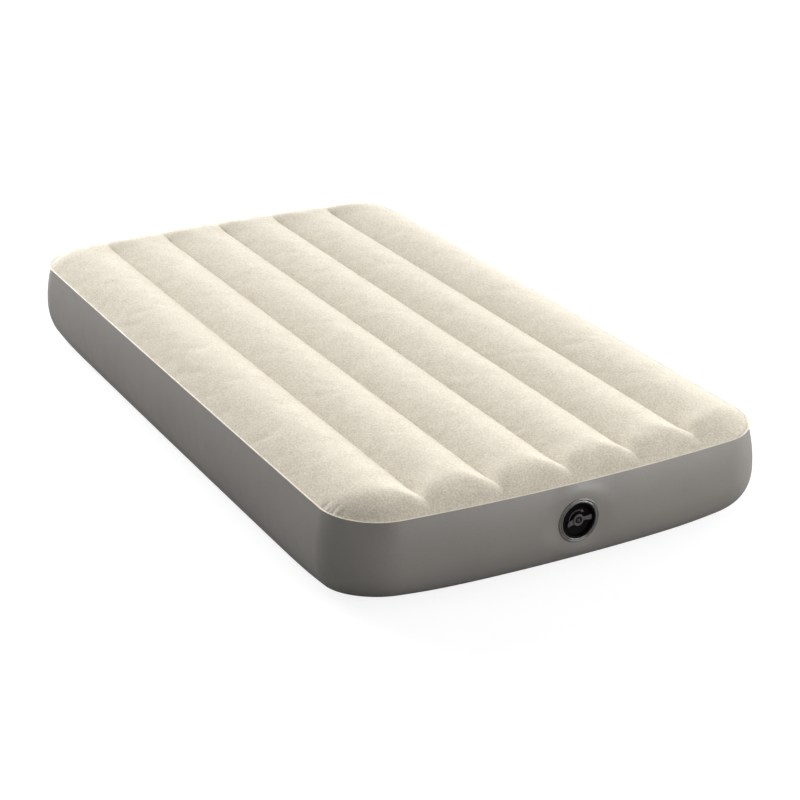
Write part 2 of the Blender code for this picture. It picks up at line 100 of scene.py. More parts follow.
# Cloth that inflates the top sheet
CLOTH_FRAMES = 20
CLOTH_PRESSURE = 3.0
CLOTH_SLACK = 0.001             # share by which the cloth is larger than its mesh
CLOTH_REACH = 0.007             # no point moves further than this
CLOTH_SETTINGS = {
    "quality": 6,
    "mass": 0.35,
    "tension_stiffness": 40,
    "compression_stiffness": 30,
    "shear_stiffness": 12,
    "bending_stiffness": 2.0,
    "tension_damping": 12,
    "compression_damping": 12,
    "air_damping": 4,
    "pin_stiffness": 8,
}

# Pleats round the top's corners, in millimetres and degrees
PLEAT_WIDTH = (3.0, 4.2)
PLEAT_LENGTH = (14, 32)
PLEAT_DEPTH = (2.0, 3.6)
PLEAT_LEAN = 0.25               # sideways shift to its length
PLEAT_FIRST = 2
PLEAT_LAST = 88
PLEAT_STEP = (4.0, 7.5)

# Tension lines at the creases' ends, in millimetres and degrees
WRINKLE_LEANS = (-52, -28, 24, 50)
WRINKLE_SWAY = 7
WRINKLE_START = (0.028, 0.036)  # metres past the point where the crease starts to run out
WRINKLE_LENGTH = (22, 36)
WRINKLE_DEPTH = (0.15, 0.35)
WRINKLE_WIDTH = 2.6

# Puckers across the creases' flanks
RIPPLE_WAVES = 7
RIPPLE_LENGTH = (0.020, 0.060)
RIPPLE_SLANT = 0.5
RIPPLE_REACH = 0.016
RIPPLE_CLEAR = 0.004            # the bottom of the crease stays straight
RIPPLE_DEPTH = 0.9 * MM
RIPPLE_END = CREASE_FULL + 0.02

# Side wall and base
BULGE_HEIGHT = 0.090            # where the wall stands out furthest
WELD_BASE = 0.003
SIDE_TUCK = 0.020               # the bottom weld lies this far inside the top weld
END_TUCK = 0.046
CORNER_TUCK = 0.020             # and up to about this much more at the round corners
CORNER_LIFT = 0.005             # where the bottom weld rises a little too
CORNER_SPAN = 0.13
BASE_CREASE = 0.008             # depth of the base's creases
BASE_PRESSED = 0.25             # crease share up to which the floor presses them flat
WALL_SEED = 11
PUCKER_WAVES = 9
PUCKER_COUNTS = (60, 220)       # how often a pucker repeats round the wall
PUCKER_DEPTH = 0.8 * MM
PUCKER_FADE = 0.014
PUCKER_LEAST = 0.35             # share of the puckers that is left away from the corners

# Mesh density
ROLL_COLUMNS = 22
OUTER_COLUMNS = 30
ROWS = 236
CROWDING = 0.6                  # 0 spaces the points evenly, and 1 would let them meet
UPPER_ROWS = 15
LOWER_ROWS = 17
TURN_STEPS = 96
FINE_STEPS = 32                 # for thin pins and bores
FILLET_STEPS = 3

# The valve's place and its hole in the wall
VALVE_UP = (COLLAR_LOW.z + COLLAR_HIGH.z) / 2
VALVE_FRONT = COLLAR_LOW.y
WALL_DEPTH = 0.0025             # the wall's face lies this far behind the collar's front
PATCH_FLAT = 0.050              # radius round the valve where the wall is flat
PATCH_END = 0.088
HOLE_RADIUS = 0.0445
HOLE_SNAP = 1.4                 # edge points within this many radii are drawn to the circle
HOLE_EASE = 1.6                 # and the other points within this many are evened out
HOLE_EASE_ROUNDS = 12

# Valve pieces, in millimetres in the valve's axes
THREAD_PITCH = 6.0
THREAD_BASE = 0.95              # half of the ridge's width at its root
THREAD_TIP = 0.4                # and at its crest
GRIP_RIBS = 48
CAP_FLOOR = -7.5
FLOOR_ROOT = CAP_FLOOR - 0.1    # where what stands on the cap's floor starts
PIN_UP = 14.5
PIN_DEPTH = -21.2
STRAP_DEPTH = -4.9              # middle of the strap's living hinge

SHARP_ANGLE = math.radians(42)


# ---- camera, lights and floor

CAMERA_TARGET = Vector((0.0933, 0.0074, 0.0))
CAMERA_AZIMUTH = math.radians(-28.29)
CAMERA_ELEVATION = math.radians(23.39)
CAMERA_DISTANCE = 4.8255
CAMERA_LENS = 91.09
FLOOR_HALF = 14.0
FLOOR_GAP = 0.0004              # keeps the floor just clear of the base
FLOOR_GLOW = 0.84
SOFTBOX_SIZE = (0.7, 0.5)
SOFTBOX_POWER = 7
FILL_FROM = (0.35, 0.75, 0.56)
FILL_RANGE = (0.06, 0.12)       # weakest and strongest fill


def new_object(name, data):
    """An object in the scene."""
    made = bpy.data.objects.new(name, data)
    bpy.context.scene.collection.objects.link(made)
    return made


def build_camera():
    level = math.cos(CAMERA_ELEVATION)
    back = Vector((
        math.sin(CAMERA_AZIMUTH) * level,
        -math.cos(CAMERA_AZIMUTH) * level,
        math.sin(CAMERA_ELEVATION),
    ))
    camera = new_object("camera", bpy.data.cameras.new("camera"))
    camera.data.lens = CAMERA_LENS
    camera.location = CAMERA_TARGET + back * CAMERA_DISTANCE
    camera.rotation_euler = (-back).to_track_quat("-Z", "Y").to_euler()
    bpy.context.scene.camera = camera


def add_lamp(name, kind, energy, towards):
    """A light that shines from the direction `towards`."""
    light = bpy.data.lights.new(name, kind)
    light.energy = energy
    lamp = new_object(name, light)
    lamp.rotation_euler = Vector(towards).to_track_quat("Z", "Y").to_euler()
    return lamp


def add_sun(name, towards, strength, degrees):
    """A soft sun, as many degrees across as given."""
    sun = add_lamp(name, "SUN", strength, towards)
    sun.data.angle = math.radians(degrees)


def add_softbox(name, place, aim):
    box = add_lamp(name, "AREA", SOFTBOX_POWER, Vector(place) - Vector(aim))
    box.data.shape = "RECTANGLE"
    box.data.size, box.data.size_y = SOFTBOX_SIZE
    box.location = place


def set_range(node, given, made):
    """Has a Map Range node take one range of values to another."""
    for socket, value in zip(("From Min", "From Max", "To Min", "To Max"), (*given, *made)):
        node.inputs[socket].default_value = value


def build_world():
    """White for the camera, and a soft fill that is brighter from behind the object."""
    world = bpy.data.worlds.new("studio")
    bpy.context.scene.world = world
    world.use_nodes = True
    tree = world.node_tree
    tree.nodes.clear()
    coords = tree.nodes.new("ShaderNodeTexCoord")
    direction = tree.nodes.new("ShaderNodeVectorMath")
    direction.operation = "DOT_PRODUCT"
    direction.inputs[1].default_value = FILL_FROM
    tree.links.new(coords.outputs["Generated"], direction.inputs[0])
    fall = tree.nodes.new("ShaderNodeMapRange")
    set_range(fall, (-1.0, 1.0), FILL_RANGE)
    tree.links.new(direction.outputs["Value"], fall.inputs["Value"])
    fill = tree.nodes.new("ShaderNodeBackground")
    tree.links.new(fall.outputs["Result"], fill.inputs["Strength"])
    seen = tree.nodes.new("ShaderNodeBackground")
    seen.inputs["Color"].default_value = (1.0, 1.0, 1.0, 1.0)
    path = tree.nodes.new("ShaderNodeLightPath")
    mix = tree.nodes.new("ShaderNodeMixShader")
    tree.links.new(path.outputs["Is Camera Ray"], mix.inputs[0])
    tree.links.new(fill.outputs[0], mix.inputs[1])
    tree.links.new(seen.outputs[0], mix.inputs[2])
    output = tree.nodes.new("ShaderNodeOutputWorld")
    tree.links.new(mix.outputs[0], output.inputs[0])


def build_floor():
    mesh = bpy.data.meshes.new("studio_floor")
    corners = [(x * FLOOR_HALF, y * FLOOR_HALF, 0) for x, y in ((-1, -1), (1, -1), (1, 1), (-1, 1))]
    mesh.from_pydata(corners, [], [(0, 1, 2, 3)])
    mesh.materials.append(floor_paper())
    floor = new_object("studio_floor", mesh)
    floor.location.z = -FLOOR_GAP


def floor_paper():
    """Dull grey paper that glows nearly white for the camera and lights nothing."""
    look = Look("floor_paper", (150, 150, 150), 0.9, specular=0.05)
    look.mottle((149, 149, 149), (151, 151, 151), 3.0)
    path = look.tree.nodes.new("ShaderNodeLightPath")
    glow = look.tree.nodes.new("ShaderNodeMath")
    glow.operation = "MULTIPLY"
    glow.inputs[1].default_value = FLOOR_GLOW
    look.link(path.outputs["Is Camera Ray"], glow.inputs[0])
    look.link(glow.outputs[0], look.shader.inputs["Emission Strength"])
    look.set("Emission Color", (1.0, 1.0, 1.0, 1.0))
    return look.material


def build_stage():
    bpy.context.scene.view_settings.view_transform = "Standard"
    build_camera()
    build_world()
    build_floor()
    add_sun("far_bank", towards=(0.0, 0.960, 0.280), strength=5.9, degrees=50)
    add_sun("right_bank", towards=(0.966, 0.0, 0.259), strength=2.3, degrees=50)
    add_sun("near_bank", towards=(0.516, -0.826, 0.225), strength=1.35, degrees=40)
    add_sun("left_bank", towards=(-0.966, 0.0, 0.259), strength=0.70, degrees=60)
    add_softbox("near_softbox", place=(1.4, -2.2, 0.7), aim=(0.5, -0.9, 0.1))
    add_softbox("far_softbox", place=(-1.7, 1.5, 0.7), aim=(-0.5, 0.8, 0.1))


# ---- materials

# Places of a Mix node's colour sockets, which share their names with other sockets
MIX_SHARE, MIX_FIRST, MIX_SECOND, MIX_RESULT = 0, 6, 7, 2


def linear(colour):
    """sRGB channels from 0 to 255 as the linear RGBA that Blender uses."""
    scaled = [channel / 255 for channel in colour]
    parts = [c / 12.92 if c <= 0.04045 else ((c + 0.055) / 1.055) ** 2.4 for c in scaled]
    return (*parts, 1.0)


class Look:
    """A Principled material, with patterns placed by the object's own coordinates, in metres."""

    def __init__(self, name, colour, roughness, specular=0.5, sheen=0.0):
        self.material = bpy.data.materials.new(name)
        self.material.use_nodes = True
        self.tree = self.material.node_tree
        self.shader = self.tree.nodes["Principled BSDF"]
        self.set("Base Color", linear(colour))
        self.set("Roughness", roughness)
        self.set("Specular IOR Level", specular)
        self.set("Sheen Weight", sheen)
        self.coords = self.tree.nodes.new("ShaderNodeTexCoord").outputs["Object"]
        self.normal = None

    def set(self, socket, value):
        self.shader.inputs[socket].default_value = value

    def link(self, output, socket):
        self.tree.links.new(output, socket)

    def noise(self, scale, detail=2.0, stretch=None):
        """Noise with `scale` features to the metre, drawn out along an axis where stretch is given."""
        made = self.tree.nodes.new("ShaderNodeTexNoise")
        made.inputs["Scale"].default_value = scale
        made.inputs["Detail"].default_value = detail
        source = self.coords
        if stretch is not None:
            mapping = self.tree.nodes.new("ShaderNodeMapping")
            mapping.inputs["Scale"].default_value = stretch
            self.link(source, mapping.inputs["Vector"])
            source = mapping.outputs["Vector"]
        self.link(source, made.inputs["Vector"])
        return made.outputs["Fac"]

    def cells(self, scale):
        made = self.tree.nodes.new("ShaderNodeTexVoronoi")
        made.feature = "SMOOTH_F1"
        made.inputs["Scale"].default_value = scale
        self.link(self.coords, made.inputs["Vector"])
        return made.outputs["Distance"]

    def ramp(self, factor, low, high, start=0.3, stop=0.7):
        made = self.tree.nodes.new("ShaderNodeValToRGB")
        first, last = made.color_ramp.elements
        first.position, last.position = start, stop
        first.color, last.color = linear(low), linear(high)
        self.link(factor, made.inputs["Fac"])
        return made.outputs["Color"]

    def mottle(self, low, high, scale, fine=None, share=0.5):
        """Colour that drifts between two tones, with a second, finer pattern where it is given."""
        colour = self.ramp(self.noise(scale, 3.0), low, high)
        if fine is not None:
            grain = self.ramp(self.noise(fine), low, high, 0.38, 0.62)
            mix = self.tree.nodes.new("ShaderNodeMix")
            mix.data_type = "RGBA"
            mix.inputs[MIX_SHARE].default_value = share
            self.link(colour, mix.inputs[MIX_FIRST])
            self.link(grain, mix.inputs[MIX_SECOND])
            colour = mix.outputs[MIX_RESULT]
        self.link(colour, self.shader.inputs["Base Color"])

    def vary_roughness(self, low, high, scale):
        span = self.tree.nodes.new("ShaderNodeMapRange")
        set_range(span, (0.3, 0.7), (low, high))
        self.link(self.noise(scale, 3.0), span.inputs["Value"])
        self.link(span.outputs["Result"], self.shader.inputs["Roughness"])

    def bump(self, height, strength, depth):
        """Adds relief `depth` metres deep, on top of any that is there."""
        made = self.tree.nodes.new("ShaderNodeBump")
        made.inputs["Strength"].default_value = strength
        made.inputs["Distance"].default_value = depth
        self.link(height, made.inputs["Height"])
        if self.normal is not None:
            self.link(self.normal, made.inputs["Normal"])
        self.normal = made.outputs["Normal"]
        self.link(self.normal, self.shader.inputs["Normal"])


def flocked_cream():
    """Short velvety flock: a fine pile in two mottled tones."""
    look = Look("flocked_cream", (226, 216, 198), 0.92, specular=0.12, sheen=0.18)
    look.set("Sheen Roughness", 0.45)
    look.mottle((210, 200, 181), (239, 231, 214), 30.0, fine=260.0, share=0.72)
    look.bump(look.noise(1500.0), 0.45, 0.0005)
    look.bump(look.noise(220.0), 0.35, 0.0008)
    return look.material


def weld_cream():
    look = Look("weld_cream", (246, 237, 219), 0.5, specular=0.5)
    look.mottle((241, 231, 212), (250, 242, 226), 90.0)
    look.bump(look.noise(500.0), 0.2, 0.0003)
    return look.material


def satin_grey():
    """Warm grey vinyl with a satin face and a fine leather-like grain."""
    look = Look("side_vinyl", (142, 138, 133), 0.42, specular=0.5)
    look.mottle((139, 135, 130), (146, 142, 137), 9.0, fine=260.0, share=0.35)
    look.vary_roughness(0.36, 0.48, 30.0)
    look.bump(look.cells(1100.0), 0.10, 0.0002)
    look.bump(look.noise(60.0), 0.08, 0.0008)
    return look.material


def base_grey():
    """Grey vinyl with an embossed grip pattern of small cells."""
    look = Look("base_vinyl", (116, 113, 110), 0.6, specular=0.35)
    look.mottle((111, 108, 105), (121, 118, 115), 12.0, fine=300.0, share=0.4)
    look.vary_roughness(0.52, 0.66, 25.0)
    look.bump(look.cells(420.0), 0.35, 0.0005)
    return look.material


def beam_fibre():
    look = Look("beam_fibre", (228, 228, 224), 0.85, specular=0.2, sheen=0.2)
    look.mottle((214, 214, 209), (236, 236, 232), 40.0)
    look.bump(look.noise(900.0, stretch=(1.0, 1.0, 0.06)), 0.5, 0.0005)
    return look.material


def beam_tape():
    look = Look("beam_tape", (205, 203, 198), 0.55)
    look.mottle((199, 197, 192), (211, 209, 204), 60.0)
    look.bump(look.cells(700.0), 0.2, 0.0003)
    return look.material


def collar_vinyl():
    """Translucent soft vinyl, tinted by the grey wall around it."""
    look = Look("collar_vinyl", (122, 118, 114), 0.16, specular=0.7)
    look.set("Transmission Weight", 0.25)
    look.set("IOR", 1.48)
    look.set("Coat Weight", 0.8)
    look.set("Coat Roughness", 0.06)
    look.mottle((114, 110, 106), (130, 126, 122), 120.0)
    look.vary_roughness(0.12, 0.22, 160.0)
    return look.material


def black_plastic():
    """Fine-textured moulded black."""
    look = Look("black_plastic", (9, 9, 10), 0.5, specular=0.07)
    look.mottle((7, 7, 8), (12, 12, 13), 300.0)
    look.vary_roughness(0.42, 0.58, 400.0)
    look.bump(look.noise(2600.0), 0.25, 0.0002)
    return look.material


def plug_vinyl():
    """Soft dark grey vinyl of the plug, its strap and the raised turning arrow."""
    look = Look("plug_vinyl", (92, 89, 86), 0.46, specular=0.3)
    look.mottle((86, 83, 80), (98, 95, 92), 260.0)
    look.vary_roughness(0.40, 0.54, 350.0)
    look.bump(look.noise(1800.0), 0.18, 0.0002)
    return look.material


def plug_well_painted_shade():
    """Painted shade: the dark, rougher bottom of the well in the plug's hub, coloured far darker than
    the plug to stand for the shade in the recess.
    """
    look = Look("plug_well_painted_shade", (24, 24, 24), 0.7, specular=0.1)
    look.mottle((19, 19, 19), (29, 29, 29), 300.0)
    look.bump(look.noise(1800.0), 0.2, 0.0002)
    return look.material


def seal_rubber():
    look = Look("seal_rubber", (26, 26, 26), 0.68, specular=0.35)
    look.mottle((21, 21, 21), (31, 31, 31), 220.0)
    look.bump(look.noise(1400.0), 0.3, 0.0002)
    return look.material


# ---- mesh helpers

def show(name, mesh, look):
    """Puts a mesh in the scene with its look, smooth but for its sharp edges."""
    piece = new_object(name, mesh)
    mesh.materials.append(look)
    mesh.shade_smooth()
    mesh.set_sharp_from_angle(angle=SHARP_ANGLE)
    return piece


def add_piece(name, mesh, look, body, stands_for=()):
    """Shows a mesh, puts it on its CAD body and lets it stand for its CAD nodes."""
    piece = show(name, mesh, look)
    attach(piece, body)
    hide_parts(*stands_for)
    return piece


def grid_mesh(name, points, ring=False):
    """A mesh of quads over an array of points [row, column, 3]. A ring closes across its columns."""
    rows, columns = points.shape[:2]
    numbers = np.arange(rows * columns).reshape(rows, columns)
    if ring:
        numbers = np.hstack([numbers, numbers[:, :1]])
    quads = np.stack(
        [numbers[:-1, :-1], numbers[:-1, 1:], numbers[1:, 1:], numbers[1:, :-1]], axis=-1
    )
    mesh = bpy.data.meshes.new(name)
    mesh.from_pydata(points.reshape(-1, 3).tolist(), [], quads.reshape(-1, 4).tolist())
    return mesh


def thicken(piece):
    """Gives an open sheet its thickness, inwards, with crisp rims."""
    bm = bmesh.new()
    bm.from_mesh(piece.data)
    for edge in bm.edges:
        if edge.is_boundary:
            edge.smooth = False
    bm.to_mesh(piece.data)
    bm.free()
    solid = piece.modifiers.new("thickness", "SOLIDIFY")
    solid.thickness = SHEET
    solid.offset = -1.0


def smooth_step(low, high, value):
    """0 up to low, 1 from high, and an S-shaped rise between them."""
    t = np.clip((value - low) / (high - low), 0.0, 1.0)
    return t * t * (3 - 2 * t)


# ---- plan of the envelope

def plan(x, y, tucked=0.0):
    """Points of a plain rectangle moved so that its corners are round and its sides are bowed.

    A tucked plan is the bottom weld's, and keeps the same points along its outline. Returns where the
    points are with round corners only, and where they are in the end.
    """
    u = np.clip((np.abs(x) - CORNER_X) / CORNER_RADIUS, 0.0, 1.0)
    v = np.clip((np.abs(y) - CORNER_Y) / CORNER_RADIUS, 0.0, 1.0)
    over_x, over_y = u * np.sqrt(1 - v * v / 2), v * np.sqrt(1 - u * u / 2)
    full_x = np.sign(x) * (np.minimum(np.abs(x), CORNER_X) + CORNER_RADIUS * over_x)
    full_y = np.sign(y) * (np.minimum(np.abs(y), CORNER_Y) + CORNER_RADIUS * over_y)
    across, along = full_x / HALF_WIDTH, full_y / HALF_LENGTH
    bow_x = SIDE_BOW * (1 - along ** 2) * across
    bow_y = END_BOW * (1 - across ** 2) * along
    corner = CORNER_TUCK * corner_share(full_x, full_y)
    inner_x = full_x - np.sign(x) * tucked * (SIDE_TUCK + corner) * over_x
    inner_y = full_y - np.sign(y) * tucked * (END_TUCK + corner) * over_y
    return full_x, full_y, inner_x + bow_x, inner_y + bow_y


def inset(x, y):
    """Distance inside the rounded outline, before the bow."""
    over_x, over_y = np.abs(x) - CORNER_X, np.abs(y) - CORNER_Y
    corner = np.hypot(np.maximum(over_x, 0.0), np.maximum(over_y, 0.0))
    return CORNER_RADIUS - corner - np.minimum(np.maximum(over_x, over_y), 0.0)


def corner_share(x, y):
    """About 0.8 at the middle of a round corner of the outline, fading out along the sides."""
    away = HALF_WIDTH - np.abs(x) + HALF_LENGTH - np.abs(y)
    return np.exp(-(away / CORNER_SPAN) ** 2)


def grid_positions():
    """The columns and rows of the sheets, closest together at the creases, the welds and the ends."""
    edges = [-HALF_WIDTH, *CREASES, HALF_WIDTH]
    columns = []
    for number, (start, stop) in enumerate(zip(edges, edges[1:])):
        count = OUTER_COLUMNS if number in (0, len(CREASES)) else ROLL_COLUMNS
        t = np.arange(count) / count
        t -= CROWDING * np.sin(2 * np.pi * t) / (2 * np.pi)
        columns.append(start + (stop - start) * t)
    columns = np.concatenate([*columns, [HALF_WIDTH]])
    t = np.linspace(-1.0, 1.0, ROWS + 1)
    rows = HALF_LENGTH * (t + CROWDING * np.sin(np.pi * t) / np.pi)
    return np.meshgrid(columns, rows)


GRID_X, GRID_Y = grid_positions()


def border(values):
    """The values round the edge of a grid, anticlockwise from its first corner."""
    return np.concatenate(
        [values[0, :-1], values[:-1, -1], values[-1, :0:-1], values[:0:-1, 0]]
    )


def outline():
    """The weld's points in plan, the unit vector out of the outline at each, and its corner share."""
    full_x, full_y, x, y = [border(values) for values in plan(GRID_X, GRID_Y)]
    over_x = np.maximum(np.abs(full_x) - CORNER_X, 0.0)
    over_y = np.maximum(np.abs(full_y) - CORNER_Y, 0.0)
    length = np.hypot(over_x, over_y)
    out_x, out_y = np.sign(full_x) * over_x / length, np.sign(full_y) * over_y / length
    return x, y, out_x, out_y, corner_share(full_x, full_y)


# ---- top sheet

def crease_share(x, y):
    """1 in a crease and 0 on a crest. Each crease narrows and runs out near the ends."""
    away = np.min(np.abs(x[..., None] - CREASES), axis=-1) / PITCH
    width = 1 - CREASE_TAPER * smooth_step(CREASE_TAPER_START, CREASE_END, np.abs(y))
    away = np.minimum(away / width, 0.5)
    return (1 - 2 * away) ** 2 * (1 - smooth_step(CREASE_FULL, CREASE_END, np.abs(y)))


def top_height(x, y):
    """Height of the top sheet before the cloth swells it."""
    edge = np.maximum(1 - inset(x, y) / EDGE_WIDTH, 0.0) ** EDGE_POWER
    share = crease_share(x, y)
    start = CREST - SWELL_ROOM * (1 - edge) * (1 - share)
    return start - EDGE_DROP * edge - CREASE_DEPTH * share


def corner_pleats(x, y, rng):
    """Depth of the short pleats that gather the top sheet round each corner of its weld."""
    depth = np.zeros_like(x)
    reach = inset(x, y)
    over_x, over_y = np.abs(x) - CORNER_X, np.abs(y) - CORNER_Y
    radius = np.hypot(over_x, over_y)
    angle = np.arctan2(over_y, over_x)
    for side in (-1, 1):
        for end in (-1, 1):
            here = (np.sign(x) == side) & (np.sign(y) == end) & (over_x > -0.02) & (over_y > -0.02)
            place = math.radians(PLEAT_FIRST)
            while place < math.radians(PLEAT_LAST):
                width = rng.uniform(*PLEAT_WIDTH) * MM
                length = rng.uniform(*PLEAT_LENGTH) * MM
                deep = rng.uniform(*PLEAT_DEPTH) * MM
                lean = rng.uniform(-PLEAT_LEAN, PLEAT_LEAN)
                across = (angle - place) * radius + lean * reach
                along = smooth_step(-0.002, 0.005, reach) * np.maximum(1 - reach / length, 0) ** 1.5
                depth += here * deep * along * np.exp(-(across / width) ** 2)
                place += math.radians(rng.uniform(*PLEAT_STEP))
    return depth


def crease_end_wrinkles(x, y, rng):
    """Depth of the fine tension lines that fan out from the end of each crease."""
    depth = np.zeros_like(x)
    for crease in CREASES:
        for end in (-1, 1):
            for lean in WRINKLE_LEANS:
                turn = math.radians(lean + rng.uniform(-WRINKLE_SWAY, WRINKLE_SWAY))
                start = CREASE_FULL + rng.uniform(*WRINKLE_START)
                side, ahead = x - crease, end * y - start
                along = side * math.sin(turn) + ahead * math.cos(turn)
                across = side * math.cos(turn) - ahead * math.sin(turn)
                length = rng.uniform(*WRINKLE_LENGTH) * MM
                deep = rng.uniform(*WRINKLE_DEPTH) * MM
                fade = smooth_step(0.0, 0.006, along) * np.maximum(1 - along / length, 0)
                depth += deep * fade * np.exp(-(across / (WRINKLE_WIDTH * MM)) ** 2)
    return depth


def crease_ripples(x, y, rng):
    """Depth of the faint puckers that cross each crease's flanks."""
    depth = np.zeros_like(x)
    for crease in CREASES:
        side = x - crease
        wave = np.zeros_like(x)
        for _ in range(RIPPLE_WAVES):
            length = rng.uniform(*RIPPLE_LENGTH)
            phase = rng.uniform(0, 2 * math.pi)
            slant = rng.uniform(-RIPPLE_SLANT, RIPPLE_SLANT)
            wave += np.sin(2 * math.pi * (y + slant * np.abs(side)) / length + phase) / RIPPLE_WAVES
        clear = 1 - np.exp(-(np.abs(side) / RIPPLE_CLEAR) ** 2)
        near = np.exp(-(np.abs(side) / RIPPLE_REACH) ** 1.5) * clear
        depth += RIPPLE_DEPTH * wave * near * (np.abs(y) < RIPPLE_END)
    return depth


def read_points(mesh):
    points = np.empty(len(mesh.vertices) * 3)
    mesh.vertices.foreach_get("co", points)
    return points.reshape(-1, 3)


def write_points(mesh, points):
    mesh.vertices.foreach_set("co", points.ravel())
    mesh.update()


def inflate(piece, held):
    """Swells a sheet with Blender's cloth, holding some of its points, and keeps the result."""
    scene = bpy.context.scene
    rest = read_points(piece.data)
    group = piece.vertex_groups.new(name="held")
    group.add([int(number) for number in np.flatnonzero(held)], 1.0, "REPLACE")
    cloth = piece.modifiers.new("inflate", "CLOTH")
    cloth.point_cache.frame_start = 1
    cloth.point_cache.frame_end = CLOTH_FRAMES
    for setting, value in CLOTH_SETTINGS.items():
        setattr(cloth.settings, setting, value)
    cloth.settings.vertex_group_mass = "held"
    cloth.settings.shrink_min = -CLOTH_SLACK
    cloth.settings.use_pressure = True
    cloth.settings.uniform_pressure_force = CLOTH_PRESSURE
    cloth.settings.effector_weights.gravity = 0
    cloth.collision_settings.use_collision = False
    cloth.collision_settings.use_self_collision = False
    for number in range(1, CLOTH_FRAMES + 1):
        scene.frame_set(number)
    swollen = piece.evaluated_get(bpy.context.evaluated_depsgraph_get())
    step = read_points(swollen.to_mesh()) - rest
    swollen.to_mesh_clear()
    length = np.linalg.norm(step, axis=1, keepdims=True)
    step *= np.minimum(1.0, CLOTH_REACH / np.maximum(length, 1e-9))
    piece.modifiers.remove(cloth)
    piece.vertex_groups.clear()
    scene.frame_set(1)
    write_points(piece.data, rest + step)


def build_top(look):
    full_x, full_y, x, y = plan(GRID_X, GRID_Y)
    points = np.stack([x, y, top_height(full_x, full_y)], axis=-1)
    top = add_piece("top_cover", grid_mesh("top_cover", points), look, "envelope",
                    ["top_sheet"])
    on_weld = inset(full_x, full_y) < TOUCHING
    nearest = np.min(np.abs(full_x[..., None] - CREASES), axis=-1)
    on_crease = (nearest < TOUCHING) & (np.abs(full_y) < CREASE_HELD)
    inflate(top, (on_weld | on_crease).ravel())
    rng = np.random.default_rng(TOP_SEED)
    depth = corner_pleats(full_x, full_y, rng)
    depth += crease_end_wrinkles(full_x, full_y, rng)
    depth += crease_ripples(full_x, full_y, rng)
    points = read_points(top.data)
    points[:, 2] -= depth.ravel()
    write_points(top.data, points)
    top.data.shade_smooth()
    thicken(top)
    return top


# ---- side wall and base

def wall_points():
    """Points [row, column, 3] down the wall, and the vector out of the outline at each column.

    The wall is a slight arc above, and a rounder curve that tucks in below.
    """
    x, y, out_x, out_y, corner = outline()
    share = np.linspace(1.0, 0.0, UPPER_ROWS + 1)[:, None]
    turn = np.linspace(0.0, math.pi / 2, LOWER_ROWS + 1)[1:, None]
    upper = BULGE_HEIGHT + (WELD_TOP - BULGE_HEIGHT) * share * np.ones_like(x)
    lower = BULGE_HEIGHT - (BULGE_HEIGHT - WELD_BASE - CORNER_LIFT * corner) * np.sin(turn)
    points = np.empty((UPPER_ROWS + LOWER_ROWS + 1, x.size, 3))
    points[..., 2] = np.vstack([upper, lower])
    for axis, (place, out, tuck) in enumerate([(x, out_x, SIDE_TUCK), (y, out_y, END_TUCK)]):
        tucked = tuck + CORNER_TUCK * corner
        above = np.broadcast_to(BULGE * (1 - share ** 2), upper.shape)
        below = (BULGE + tucked) * np.cos(turn) - tucked
        points[..., axis] = place + np.vstack([above, below]) * out
    return points, out_x, out_y


def wall_puckers(x, y, height, rng):
    """How far fine puckers below the top weld pull the wall in."""
    below = WELD_TOP - height
    angle = np.arctan2(y, x)
    wave = np.zeros_like(x)
    for _ in range(PUCKER_WAVES):
        count = rng.integers(*PUCKER_COUNTS)
        wave += np.sin(count * angle + rng.uniform(0, 2 * math.pi)) / PUCKER_WAVES
    at_corner = smooth_step(CORNER_X, HALF_WIDTH, np.abs(x))
    at_corner *= smooth_step(CORNER_Y - 0.05, HALF_LENGTH, np.abs(y))
    bunched = PUCKER_LEAST + (1 - PUCKER_LEAST) * at_corner
    fade = np.exp(-below / PUCKER_FADE) * smooth_step(0.0, 0.003, below)
    return PUCKER_DEPTH * wave * bunched * fade


def build_wall(look):
    points, out_x, out_y = wall_points()
    rng = np.random.default_rng(WALL_SEED)
    pull = wall_puckers(points[..., 0], points[..., 1], points[..., 2], rng)
    points[..., 0] -= pull * out_x
    points[..., 1] -= pull * out_y
    face = VALVE_FRONT + WALL_DEPTH
    away = np.hypot(points[..., 0], points[..., 2] - VALVE_UP)
    flat = (1 - smooth_step(PATCH_FLAT, PATCH_END, away)) * (points[..., 1] < 0)
    points[..., 1] += (face - points[..., 1]) * flat
    mesh = grid_mesh("side_wall", points[::-1], ring=True)
    cut_hole(mesh)
    wall = add_piece("side_wall", mesh, look, "envelope", ["side_band"])
    thicken(wall)
    return wall


def cut_hole(mesh):
    """Opens the valve's hole in the wall, with a round edge under the collar's lip."""
    bm = bmesh.new()
    bm.from_mesh(mesh)
    centre = Vector((0.0, 0.0, VALVE_UP))

    def from_axis(point):
        return math.hypot(point.x, point.z - VALVE_UP)

    inside = [
        f for f in bm.faces
        if f.calc_center_median().y < 0 and from_axis(f.calc_center_median()) < HOLE_RADIUS
    ]
    bmesh.ops.delete(bm, geom=inside, context="FACES")
    for vert in bm.verts:
        if vert.co.y < 0 and vert.is_boundary and from_axis(vert.co) < HOLE_SNAP * HOLE_RADIUS:
            centre.y = vert.co.y
            vert.co = centre + (vert.co - centre).normalized() * HOLE_RADIUS
    near = [
        v for v in bm.verts
        if v.co.y < 0 and not v.is_boundary and from_axis(v.co) < HOLE_EASE * HOLE_RADIUS
    ]
    for _ in range(HOLE_EASE_ROUNDS):
        bmesh.ops.smooth_vert(bm, verts=near, factor=0.5, use_axis_x=True, use_axis_z=True)
    bm.to_mesh(mesh)
    bm.free()


